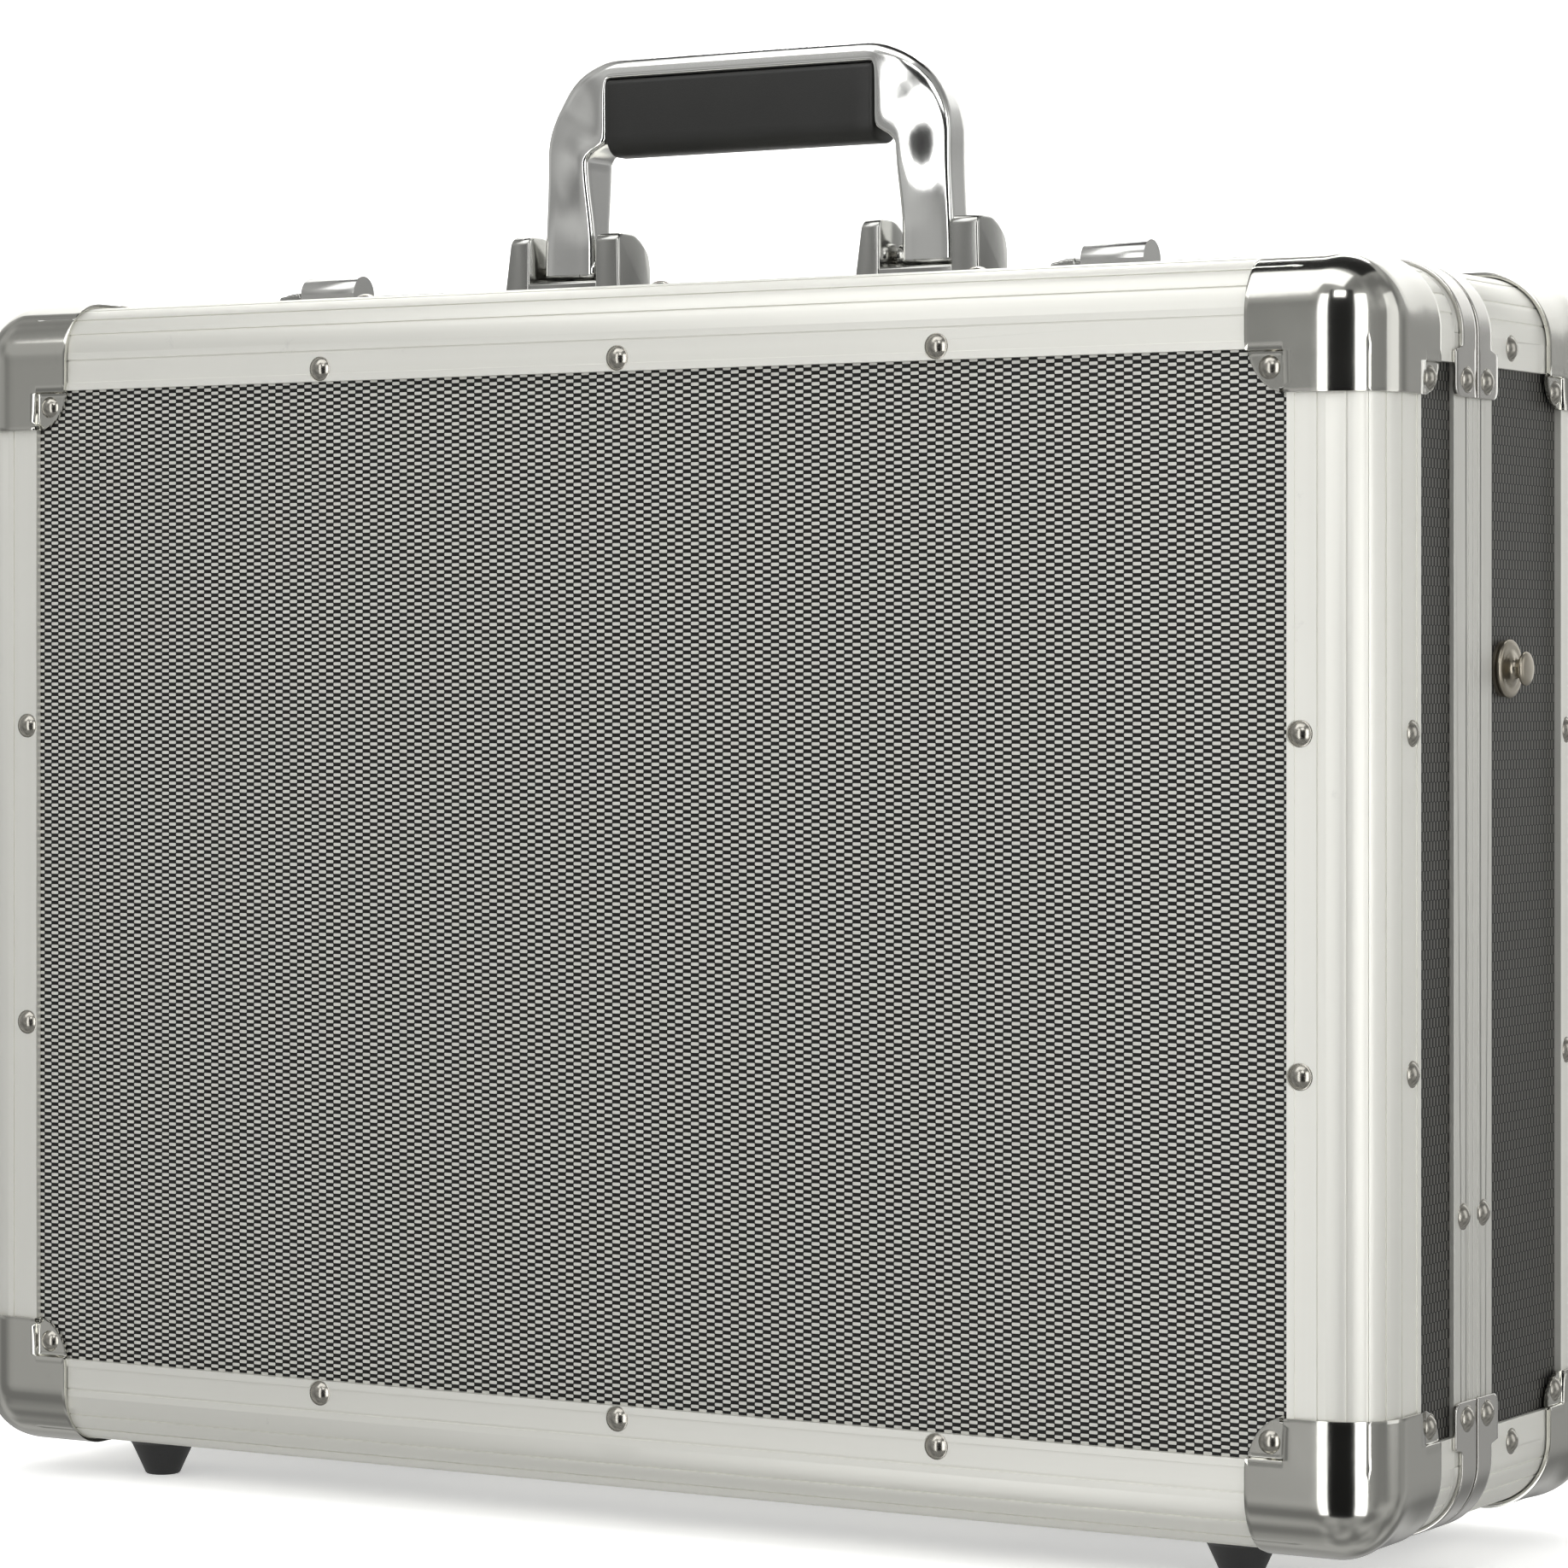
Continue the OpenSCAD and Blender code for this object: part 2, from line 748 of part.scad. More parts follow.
// Folding hasp: a leaf on the pin with a half-round hump that bridges the parting line.
module hasp(sx) {
    from = hump_off - hump_len / 2;
    low = 1.6;
    wall = 1.2;
    hump_y = parting_y + 0.2;
    leaf_to = hump_y + hump_r - eps;
    at_latch(sx) translate([from, 0, 0])
        difference() {
            rotate([90, 0, 90]) linear_extrude(hump_len) {
                translate([hump_y, hump_h - hump_r]) intersection() {
                    circle(hump_r);
                    translate([-hump_r, -eps]) square([2 * hump_r, hump_r + 1]);
                }
                translate([hump_y - hump_r, low]) square([2 * hump_r, hump_h - hump_r - low]);
                translate([hump_y - hump_r - 4.5, low]) square([5, wall]);
                translate([leaf_to, hasp_z - z1 - 0.6]) square([hasp_y - leaf_to, 1.4]);
                translate([hasp_y, hasp_z - z1]) circle(hasp_knuckle_r);
            }
            translate([wall, 0, 0]) rotate([90, 0, 90]) linear_extrude(hump_len - 2 * wall) {
                translate([hump_y, hump_h - hump_r]) circle(hump_r - wall);
                translate([hump_y - hump_r + wall, low - 1])
                    square([2 * (hump_r - wall), hump_h - hump_r - low + 1]);
            }
            translate([-1, hasp_y, hasp_z - z1]) rotate([0, 90, 0])
                cylinder(r = hasp_pin_r + 0.05, h = hump_len + 2);
        }
}

// Strike plate on the lid's frame, under the nose of the hasp.
module latch_strike(sx) {
    at_latch(sx)
        translate([hump_off - hump_len / 2, parting_y - 11.6, 0]) cube([hump_len, 11, 1.2]);
}

// Thumb slider that frees the hasp: a tab on the raised end of the latch body.
module latch_slider(sx) {
    at_latch(sx)
        translate([-latch_len / 2, parting_y + 1.4, 3.05])
            difference() {
                cube([8, 7.8, 3.4]);
                for (x = [2, 4, 6]) translate([x - 0.35, -1, 2.9]) cube([0.7, 10, 1]);
            }
}

// ---- The nodes ----

color(laminate) place_base() face_panel(base_d, true);  // base_back_panel
color(laminate) place_base() side_panel("top", base_d, true);  // base_top_panel
color(laminate) place_base() side_panel("bottom", base_d, true);  // base_bottom_panel
color(laminate) place_base() side_panel("left", base_d, true);  // base_left_panel
color(laminate) place_base() side_panel("right", base_d, true);  // base_right_panel
color(silver) place_base() edge_rail("top", base_d, true);  // base_edge_top
color(silver) place_base() edge_rail("bottom", base_d, true);  // base_edge_bottom
color(silver) place_base() edge_rail("left", base_d, true);  // base_edge_left
color(silver) place_base() edge_rail("right", base_d, true);  // base_edge_right
color(silver) place_base() depth_rails(base_d, true);  // base_depth_rails
color(silver) place_base() frame_rail("top", base_d, true);  // base_frame_top
color(silver) place_base() frame_rail("bottom", base_d, true);  // base_frame_bottom
color(silver) place_base() frame_rail("left", base_d, true);  // base_frame_left
color(silver) place_base() frame_rail("right", base_d, true);  // base_frame_right
color(silver) place_base() frame_elbows(base_d, true);  // base_frame_elbows
color(chrome) place_base() ball_corners(base_d, true);  // base_corners
color(chrome) place_base() clips(base_d);  // base_clips
color(rivet_grey) place_base() half_rivets(base_d, true);  // base_rivets
color(black) place_base() lining(base_d - web_t - 0.4);  // base_lining
color(black) place_base() feet();  // base_feet
color(nickel) place_base() at_studs() stud();  // strap_studs

color(laminate) place_lid() face_panel(lid_d, false);  // lid_front_panel
color(laminate) place_lid() side_panel("top", lid_d, false);  // lid_top_panel
color(laminate) place_lid() side_panel("bottom", lid_d, false);  // lid_bottom_panel
color(laminate) place_lid() side_panel("left", lid_d, false);  // lid_left_panel
color(laminate) place_lid() side_panel("right", lid_d, false);  // lid_right_panel
color(silver) place_lid() edge_rail("top", lid_d, false);  // lid_edge_top
color(silver) place_lid() edge_rail("bottom", lid_d, false);  // lid_edge_bottom
color(silver) place_lid() edge_rail("left", lid_d, false);  // lid_edge_left
color(silver) place_lid() edge_rail("right", lid_d, false);  // lid_edge_right
color(silver) place_lid() depth_rails(lid_d, false);  // lid_depth_rails
color(silver) place_lid() frame_rail("top", lid_d, false);  // lid_frame_top
color(silver) place_lid() frame_rail("bottom", lid_d, false);  // lid_frame_bottom
color(silver) place_lid() frame_rail("left", lid_d, false);  // lid_frame_left
color(silver) place_lid() frame_rail("right", lid_d, false);  // lid_frame_right
color(silver) place_lid() frame_elbows(lid_d, false);  // lid_frame_elbows
color(chrome) place_lid() ball_corners(lid_d, false);  // lid_corners
color(chrome) place_lid() clips(lid_d);  // lid_clips
color(rivet_grey) place_lid() half_rivets(lid_d, false);  // lid_rivets
color(black) place_lid() lining(lid_d - tongue_out - 0.5);  // lid_lining
color(black) place_lid() feet();  // lid_feet

color(silver) hinge_leaf(false);  // hinge_base_leaves
color(silver) hinge_leaf(true);  // hinge_lid_leaves
color(rivet_grey) hinge_pin_set();  // hinge_pins
color(rivet_grey) place_base() foot_screw_set();  // base_foot_screws
color(rivet_grey) place_lid() foot_screw_set();  // lid_foot_screws

color(chrome) handle_bracket(-1);  // handle_bracket_left
color(chrome) handle_bracket(1);  // handle_bracket_right
color(rivet_grey) handle_pin_set();  // handle_pins
color(rivet_grey) handle_screw_set();  // handle_screws
color(chrome) handle_bow();
color(black) handle_grip();

color(chrome) latch_body(-1);  // latch_body_left
color(chrome) latch_body(1);  // latch_body_right
color(chrome) { latch_strike(-1); latch_strike(1); }  // latch_strikes
color(chrome) hasp(-1);  // hasp_left
color(chrome) hasp(1);  // hasp_right
color(chrome) latch_slider(-1);  // latch_slider_left
color(chrome) latch_slider(1);  // latch_slider_right
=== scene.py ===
"""The looks of the hard tool case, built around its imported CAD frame. Lengths are metres."""
import math

import bpy
import bmesh
from mathutils import Matrix, Vector


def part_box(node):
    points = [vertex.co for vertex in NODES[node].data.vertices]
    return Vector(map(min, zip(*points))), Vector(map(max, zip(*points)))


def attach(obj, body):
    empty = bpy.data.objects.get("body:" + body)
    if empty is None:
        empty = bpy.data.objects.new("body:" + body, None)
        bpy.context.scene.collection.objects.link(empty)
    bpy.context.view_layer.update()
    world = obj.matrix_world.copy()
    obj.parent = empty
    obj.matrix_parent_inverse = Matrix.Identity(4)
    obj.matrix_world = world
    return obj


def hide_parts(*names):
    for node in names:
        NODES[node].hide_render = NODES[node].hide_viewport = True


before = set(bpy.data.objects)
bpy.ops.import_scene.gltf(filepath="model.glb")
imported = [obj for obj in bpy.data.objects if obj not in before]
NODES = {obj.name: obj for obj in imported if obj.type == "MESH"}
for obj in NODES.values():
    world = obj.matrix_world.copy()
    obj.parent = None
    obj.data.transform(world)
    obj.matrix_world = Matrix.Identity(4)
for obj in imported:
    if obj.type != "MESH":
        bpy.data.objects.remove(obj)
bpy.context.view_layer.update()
MM = 0.001

# ---- Sizes taken from the frame ----

shell_low, shell_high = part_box("base_frame_elbows")
HALF_W = shell_high.x
TOP_Z = shell_high.z
LOW_Z = shell_low.z
MID_Z = (TOP_Z + LOW_Z) / 2


# ---- Shader helpers ----

class Shader:
    """A node material under construction, with short ways to add and join nodes."""

    def __init__(self, name):
        self.material = bpy.data.materials.new(name)
        self.material.use_nodes = True
        self.tree = self.material.node_tree
        self.bsdf = self.tree.nodes["Principled BSDF"]

    def node(self, kind, **settings):
        made = self.tree.nodes.new(kind)
        for key, value in settings.items():
            setattr(made, key, value)
        return made

    def link(self, source, target):
        self.tree.links.new(source, target)

    def feed(self, target, value):
        if isinstance(value, bpy.types.NodeSocket):
            self.link(value, target)
        else:
            target.default_value = value

    def math(self, operation, a, b=0.0, c=0.0, clamp=False):
        made = self.node("ShaderNodeMath", operation=operation, use_clamp=clamp)
        for socket, value in zip(made.inputs, (a, b, c)):
            self.feed(socket, value)
        return made.outputs[0]

    def mix(self, factor, a, b):
        made = self.node("ShaderNodeMix", data_type="RGBA")
        self.feed(made.inputs["Factor"], factor)
        for socket, value in ((made.inputs[6], a), (made.inputs[7], b)):
            self.feed(socket, value if isinstance(value, bpy.types.NodeSocket) else (*value, 1))
        return made.outputs[2]

    def ramp(self, value, low, high):
        """0 below low, 1 above high, smooth between."""
        made = self.node("ShaderNodeMapRange", interpolation_type="SMOOTHSTEP")
        self.feed(made.inputs["Value"], value)
        made.inputs["From Min"].default_value = low
        made.inputs["From Max"].default_value = high
        return made.outputs["Result"]

    def spread(self, value, low, high):
        """Maps 0..1 to low..high."""
        made = self.node("ShaderNodeMapRange")
        self.feed(made.inputs["Value"], value)
        made.inputs["To Min"].default_value = low
        made.inputs["To Max"].default_value = high
        return made.outputs["Result"]

    def place(self):
        return self.node("ShaderNodeTexCoord").outputs["Object"]

    def stretched(self, scale):
        made = self.node("ShaderNodeMapping")
        self.link(self.place(), made.inputs["Vector"])
        made.inputs["Scale"].default_value = scale
        return made.outputs["Vector"]

    def noise(self, vector, scale, detail=2.0, rough=0.5):
        made = self.node("ShaderNodeTexNoise")
        self.link(vector, made.inputs["Vector"])
        made.inputs["Scale"].default_value = scale
        made.inputs["Detail"].default_value = detail
        made.inputs["Roughness"].default_value = rough
        return made.outputs["Fac"]

    def bump(self, height, strength, distance):
        made = self.node("ShaderNodeBump")
        made.inputs["Strength"].default_value = strength
        made.inputs["Distance"].default_value = distance
        self.link(height, made.inputs["Height"])
        self.link(made.outputs["Normal"], self.bsdf.inputs["Normal"])

    def set(self, **values):
        for key, value in values.items():
            self.feed(self.bsdf.inputs[key.replace("_", " ")], value)


# ---- Materials ----

AXES = {"x": 0, "y": 1, "z": 2}


def laminate(name, long_axis, short_axis, bright_cell, shine):
    """Chequer of rounded light cells on near-black, long side along long_axis, under a clear film."""
    cell_long, cell_short = 2.575 * MM, 1.0 * MM
    s = Shader(name)
    split = s.node("ShaderNodeSeparateXYZ")
    s.link(s.place(), split.inputs[0])
    u = s.math("DIVIDE", split.outputs[AXES[long_axis]], cell_long)
    v = s.math("DIVIDE", split.outputs[AXES[short_axis]], cell_short)
    column, row = s.math("FLOOR", u), s.math("FLOOR", v)
    odd = s.math("FLOORED_MODULO", s.math("ADD", column, row), 2.0)
    across = s.math("ABSOLUTE", s.math("SUBTRACT", s.math("SUBTRACT", u, column), 0.5))
    down = s.math("ABSOLUTE", s.math("SUBTRACT", s.math("SUBTRACT", v, row), 0.5))
    # Distance to a rounded cell, measured in short cells.
    stretch = cell_long / cell_short
    out_x = s.math("MAXIMUM", s.math("SUBTRACT", s.math("MULTIPLY", across, stretch), 0.98), 0.0)
    out_y = s.math("MAXIMUM", s.math("SUBTRACT", down, 0.20), 0.0)
    reach = s.math("SQRT", s.math("ADD", s.math("POWER", out_x, 2.0), s.math("POWER", out_y, 2.0)))
    inside = s.math("SUBTRACT", 1.0, s.ramp(reach, 0.18, 0.32))
    light = s.math("MULTIPLY", inside, s.math("SUBTRACT", 1.0, odd))
    streak = s.noise(s.place(), 900.0, 2.0)
    drift = s.noise(s.place(), 14.0, 3.0)
    bright = s.math("MULTIPLY", light, s.spread(streak, 0.86, 1.08))
    base = s.mix(drift, (0.007, 0.007, 0.0065), (0.013, 0.0125, 0.012))
    s.set(Base_Color=s.mix(bright, base, bright_cell))
    s.set(Metallic=s.math("MULTIPLY", light, 0.25))
    s.set(Roughness=s.spread(light, 0.34, 0.42))
    s.bsdf.inputs["Specular IOR Level"].default_value = shine
    s.bsdf.inputs["Coat Weight"].default_value = 0.12 * shine
    s.bsdf.inputs["Coat Roughness"].default_value = 0.2
    s.bump(s.math("ADD", light, s.math("MULTIPLY", streak, 0.25)), 0.35, 0.00006)
    return s.material


def aluminium(name, axis, shade=1.0):
    """Satin anodised extrusion: fine drawn lines and a few rubs along its length."""
    s = Shader(name)
    along = [900.0, 900.0, 900.0]
    along[AXES[axis]] = 6.0
    lines = s.noise(s.stretched(along), 1.0, 3.0, 0.6)
    broad = [160.0, 160.0, 160.0]
    broad[AXES[axis]] = 2.5
    bands = s.noise(s.stretched(broad), 1.0, 2.0)
    cloud = s.noise(s.place(), 9.0, 4.0)
    rub = s.ramp(s.noise(s.place(), 70.0, 6.0, 0.7), 0.66, 0.74)
    tone = s.mix(s.math("ADD", s.math("MULTIPLY", bands, 0.6), s.math("MULTIPLY", cloud, 0.4)),
                 (0.80 * shade, 0.795 * shade, 0.745 * shade), (0.92 * shade, 0.915 * shade, 0.865 * shade))
    s.set(Base_Color=s.mix(s.math("MULTIPLY", rub, 0.25), tone, (0.60, 0.60, 0.58)))
    s.set(Metallic=0.8)
    s.set(Roughness=s.spread(s.math("ADD", lines, s.math("MULTIPLY", rub, 0.3)), 0.46, 0.60))
    s.bump(lines, 0.22, 0.00003)
    return s.material


def plated(name, colour, rough_low, rough_high, dent=0.0):
    """Plated metal: bright, with smudges in its gloss and the faint waves of a pressing."""
    s = Shader(name)
    smudge = s.noise(s.place(), 45.0, 5.0, 0.62)
    speck = s.noise(s.place(), 1400.0, 2.0)
    worn = s.ramp(s.noise(s.place(), 230.0, 5.0, 0.7), 0.60, 0.75)
    dull = tuple(0.8 * c for c in colour)
    s.set(Base_Color=s.mix(s.math("MULTIPLY", worn, 0.22), colour, dull))
    s.set(Metallic=1.0)
    s.set(Roughness=s.spread(s.math("ADD", s.math("MULTIPLY", smudge, 0.8), s.math("MULTIPLY", worn, 0.2)),
                             rough_low, rough_high))
    s.bump(s.math("ADD", s.math("MULTIPLY", smudge, dent), s.math("MULTIPLY", speck, 0.05)), 0.15, 0.0002)
    return s.material


def moulded(name, colour, rough, grain_scale, grain_depth, sheen=0.0):
    """Moulded plastic or rubber with a fine grain."""
    s = Shader(name)
    grain = s.noise(s.place(), grain_scale, 3.0, 0.65)
    cloud = s.noise(s.place(), 60.0, 3.0)
    lighter = tuple(min(1.0, 1.5 * c + 0.004) for c in colour)
    s.set(Base_Color=s.mix(s.math("MULTIPLY", cloud, 0.6), colour, lighter))
    s.set(Roughness=s.spread(grain, rough - 0.08, rough + 0.1))
    s.bsdf.inputs["Sheen Weight"].default_value = sheen
    s.bump(grain, 0.5, grain_depth)
    return s.material


def pile(name):
    """Short-pile lining cloth."""
    s = Shader(name)
    tuft = s.noise(s.place(), 2600.0, 2.0, 0.7)
    nap = s.noise(s.place(), 28.0, 4.0)
    s.set(Base_Color=s.mix(s.math("ADD", s.math("MULTIPLY", tuft, 0.6), s.math("MULTIPLY", nap, 0.4)),
                           (0.012, 0.012, 0.013), (0.055, 0.055, 0.060)))
    s.set(Roughness=s.spread(tuft, 0.85, 1.0))
    s.bsdf.inputs["Sheen Weight"].default_value = 0.5
    s.bsdf.inputs["Sheen Roughness"].default_value = 0.4
    s.bump(tuft, 0.6, 0.0004)
    return s.material


FRONT_LAMINATE = laminate("laminate_faces", "x", "z", (0.58, 0.575, 0.54), 0.16)
# The side panels take a copy of the face laminate whose light cells are painted far darker: painted shade
# on the side panels, not a different laminate.
SHADED_SIDE_LAMINATE = laminate("laminate_sides_painted_shade", "z", "y", (0.125, 0.123, 0.112), 0.1)
TOP_LAMINATE = laminate("laminate_top", "x", "y", (0.50, 0.50, 0.47), 0.25)
ALUMINIUM = {axis: aluminium(f"aluminium_{axis}", axis) for axis in "xyz"}
FRAME = {axis: aluminium(f"frame_aluminium_{axis}", axis, 0.78) for axis in "xz"}
CORNER = plated("corner_chrome", (0.58, 0.575, 0.535), 0.08, 0.19, 1.0)
HANDLE = plated("handle_chrome", (0.82, 0.82, 0.80), 0.10, 0.20, 0.6)
CLIP = plated("clip_steel", (0.62, 0.61, 0.58), 0.10, 0.24, 0.4)
RIVET = plated("rivet_steel", (0.41, 0.395, 0.355), 0.16, 0.32, 0.3)
BRACKET = plated("bracket_chrome", (0.46, 0.46, 0.44), 0.12, 0.26, 0.5)
HINGE = plated("hinge_zinc", (0.66, 0.66, 0.63), 0.26, 0.42, 0.4)
LATCH = plated("latch_steel", (0.40, 0.40, 0.38), 0.18, 0.32, 0.4)
HASP = plated("hasp_steel", (0.66, 0.66, 0.64), 0.16, 0.30, 0.4)
STUD = plated("stud_nickel", (0.40, 0.365, 0.30), 0.26, 0.42, 0.3)
GRIP = moulded("grip_plastic", (0.009, 0.009, 0.008), 0.46, 2400.0, 0.00008)
RUBBER = moulded("foot_rubber", (0.014, 0.014, 0.014), 0.62, 1500.0, 0.0001, 0.1)
LINING = pile("lining_pile")


def paint(obj, material):
    obj.data.materials.clear()
    obj.data.materials.append(material)


def material_for(node):
    if "panel" in node:
        if "left" in node or "right" in node:
            # the side panels get the laminate copy with painted shade in its light cells
            return SHADED_SIDE_LAMINATE
        return FRONT_LAMINATE if "front" in node or "back" in node else TOP_LAMINATE
    if "depth_rails" in node:
        return ALUMINIUM["y"]
    if "edge" in node or "frame" in node:
        metal = FRAME if "frame" in node else ALUMINIUM
        return metal["z" if "left" in node or "right" in node else "x"]
    for word, material in (
        ("corners", CORNER), ("clips", CORNER), ("rivets", RIVET), ("screws", RIVET), ("pins", RIVET),
        ("lining", LINING), ("feet", RUBBER), ("studs", STUD), ("hinge", HINGE), ("grip", GRIP),
        ("handle", HANDLE), ("latch", LATCH), ("hasp", HASP),
    ):
        if word in node:
            return material
    raise ValueError(node)


# ---- Edge rounding of the CAD nodes ----

EDGE_ROUND = {
    "frame": 0.25, "edge": 0.18, "depth": 0.18, "latch": 0.3, "hasp": 0.3, "hinge": 0.25, "feet": 0.5,
}


def soften(obj, width):
    """Welds a CAD node's triangles and rounds its sharp edges with modifiers."""
    weld = obj.modifiers.new("weld", "WELD")
    weld.merge_threshold = 0.000002
    bevel = obj.modifiers.new("round", "BEVEL")
    bevel.width = width * MM
    bevel.segments = 2
    bevel.limit_method = "ANGLE"
    bevel.angle_limit = math.radians(32)
    bevel.use_clamp_overlap = True


for name, obj in NODES.items():
    paint(obj, material_for(name))


# ---- Mesh helpers ----

def new_piece(name, verts, faces, material, sharp_deg=35):
    mesh = bpy.data.meshes.new(name)
    mesh.from_pydata(verts, [], faces)
    mesh.validate()
    obj = bpy.data.objects.new(name, mesh)
    bpy.context.scene.collection.objects.link(obj)
    mesh.materials.append(material)
    bm = bmesh.new()
    bm.from_mesh(mesh)
    bmesh.ops.remove_doubles(bm, verts=bm.verts, dist=0.000004)
    bmesh.ops.recalc_face_normals(bm, faces=bm.faces)
    bm.to_mesh(mesh)
    bm.free()
    mesh.polygons.foreach_set("use_smooth", [True] * len(mesh.polygons))
    mesh.set_sharp_from_angle(angle=math.radians(sharp_deg))
    return obj


def grid_faces(rows, columns, start=0, close=False):
    faces = []
    for r in range(rows - 1):
        for c in range(columns if close else columns - 1):
            d = (c + 1) % columns
            faces.append((start + r * columns + c, start + r * columns + d,
                          start + (r + 1) * columns + d, start + (r + 1) * columns + c))
    return faces


def loft(rings, caps=True):
    """Closed rings of equal length, joined in order and capped."""
    count = len(rings[0])
    verts = [p for ring in rings for p in ring]
    faces = grid_faces(len(rings), count, close=True)
    if caps:
        faces.append(tuple(range(count)))
        faces.append(tuple(range(len(verts) - count, len(verts))))
    return verts, faces


def lathe(profile, place, axis, turns=40):
    """Turns (radius, height) pairs about the axis through place."""
    axis = Vector(axis).normalized()
    side = axis.orthogonal().normalized()
    other = axis.cross(side)
    rings = []
    for radius, height in profile:
        ring = []
        for i in range(turns):
            a = math.tau * i / turns
            ring.append(Vector(place) + axis * height
                        + (side * math.cos(a) + other * math.sin(a)) * max(radius, 1e-6))
        rings.append(ring)
    return loft(rings)


def merged(parts):
    verts, faces = [], []
    for part_verts, part_faces in parts:
        start = len(verts)
        verts += part_verts
        faces += [tuple(start + i for i in face) for face in part_faces]
    return verts, faces


def face_out(piece, inside_of):
    """Turns every face away from inside_of(its centre)."""
    bm = bmesh.new()
    bm.from_mesh(piece.data)
    for face in bm.faces:
        centre = face.calc_center_median()
        if face.normal.dot(centre - inside_of(centre)) < 0:
            face.normal_flip()
    bm.to_mesh(piece.data)
    bm.free()


def thicken(piece, thickness, rim_width):
    """Gives a pressed sheet its thickness, inwards, and a small round on its rim."""
    thick = piece.modifiers.new("thickness", "SOLIDIFY")
    thick.thickness = thickness
    thick.offset = -1
    thick.use_even_offset = True
    rim = piece.modifiers.new("rim", "BEVEL")
    rim.width = rim_width
    rim.segments = 2
    rim.limit_method = "ANGLE"
    rim.angle_limit = math.radians(80)


def solids_of(obj):
    """Box of each separate solid in a CAD node, as (low, high) vectors."""
    mesh = obj.data
    spots, owner = {}, []
    for vertex in mesh.vertices:
        p = obj.matrix_world @ vertex.co
        owner.append(spots.setdefault((round(p.x, 6), round(p.y, 6), round(p.z, 6)), len(spots)))
    parent = list(range(len(spots)))

    def root(i):
        while parent[i] != i:
            parent[i] = parent[parent[i]]
            i = parent[i]
        return i

    for polygon in mesh.polygons:
        ids = [owner[i] for i in polygon.vertices]
        for other in ids[1:]:
            parent[root(other)] = root(ids[0])
    boxes = {}
    for key, i in spots.items():
        low, high = boxes.setdefault(root(i), (Vector(key), Vector(key)))
        for a in range(3):
            low[a] = min(low[a], key[a])
            high[a] = max(high[a], key[a])
    return sorted(boxes.values(), key=lambda box: tuple(round(c, 5) for c in box[0]))


# ---- Rivets ----

RIVET_DOME = [
    (0.0, 1.72), (0.55, 1.70), (1.15, 1.58), (1.75, 1.36), (2.30, 1.03), (2.75, 0.66), (3.02, 0.36),
    (3.16, 0.20), (3.38, 0.19), (3.55, 0.12), (3.60, 0.0), (3.60, -0.3), (0.0, -0.3),
]


def make_rivets(node, body):
    parts = []
    face_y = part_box(f"{body}_edge_top")[0 if body == "lid" else 1].y
    plane_of = (HALF_W, face_y + (0.35 * MM if body == "lid" else -0.35 * MM), TOP_Z - MID_Z)
    for low, high in solids_of(NODES[node]):
        size = high - low
        middle = (low + high) / 2
        axis_index = max(range(3), key=lambda a: abs(size[a] - 2 * 3.6 * MM))
        sign = 1 if middle[axis_index] > (MID_Z if axis_index == 2 else 0) else -1
        axis = Vector((0, 0, 0))
        axis[axis_index] = sign
        seat = middle.copy()
        seat[axis_index] = (high if sign > 0 else low)[axis_index] - sign * 1.72 * MM
        out = abs(seat[axis_index] - plane_of[axis_index]) if axis_index == 1 else sign * (
            seat[axis_index] - (MID_Z if axis_index == 2 else 0)) - plane_of[axis_index]
        if axis_index != 1 and -0.6 * MM < out < -0.3 * MM:
            seat[axis_index] += sign * 1.0 * MM
        if axis_index == 1 and out > 0.3 * MM:
            seat[axis_index] += sign * 0.35 * MM
        parts.append(lathe([(r * MM, h * MM) for r, h in RIVET_DOME], seat, axis, 28))
    piece = new_piece(f"{node}_turned", *merged(parts), RIVET)
    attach(piece, body)
    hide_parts(node)


make_rivets("base_rivets", "base")
make_rivets("lid_rivets", "lid")


# ---- Ball corners ----

PLATE = 1.2
OUT = 1.55
REACH = 36.5
REACH_Y = 38.0
STEP_FACE, STEP_DEPTH, STEP_SIDE = 25.3, 27.4, 28.1
EAR_DROP = {"front": 1.4, "side": 0.8, "top": 0.8}


def smooth(t):
    t = min(1.0, max(0.0, t))
    return t * t * (3 - 2 * t)


def ball_point(px, py, pz):
    """Maps a point of the sharp corner (mm inwards from the outer planes) onto the pressed round."""
    grow = smooth((py - 6) / 20)
    rx = rz = 17.5 + 3.0 * grow
    ry = 17.5
    spot = []
    for p, r in ((px, rx), (py, ry), (pz, rz)):
        spot.append((max(p, r - OUT), p, r))
    d = [(inner - p) / r for inner, p, r in spot]
    length = math.sqrt(sum(v * v for v in d)) or 1.0
    return [inner - r * v / length for (inner, p, r), v in zip(spot, d)], [v / length for v in d]


def stops(reach, step, rounded):
    """Grid lines from the outer plane to the far edge, doubled at the ear's step."""
    lines = [-OUT + (rounded + OUT) * (i / 14) for i in range(15)]
    lines += [rounded + (step - rounded) * k for k in (0.5, 1.0)]
    lines += [step + 0.1 * k for k in range(1, 7)]
    lines += [step + 0.6 + (reach - step - 0.6) * (i / 9) for i in range(1, 10)]
    return lines


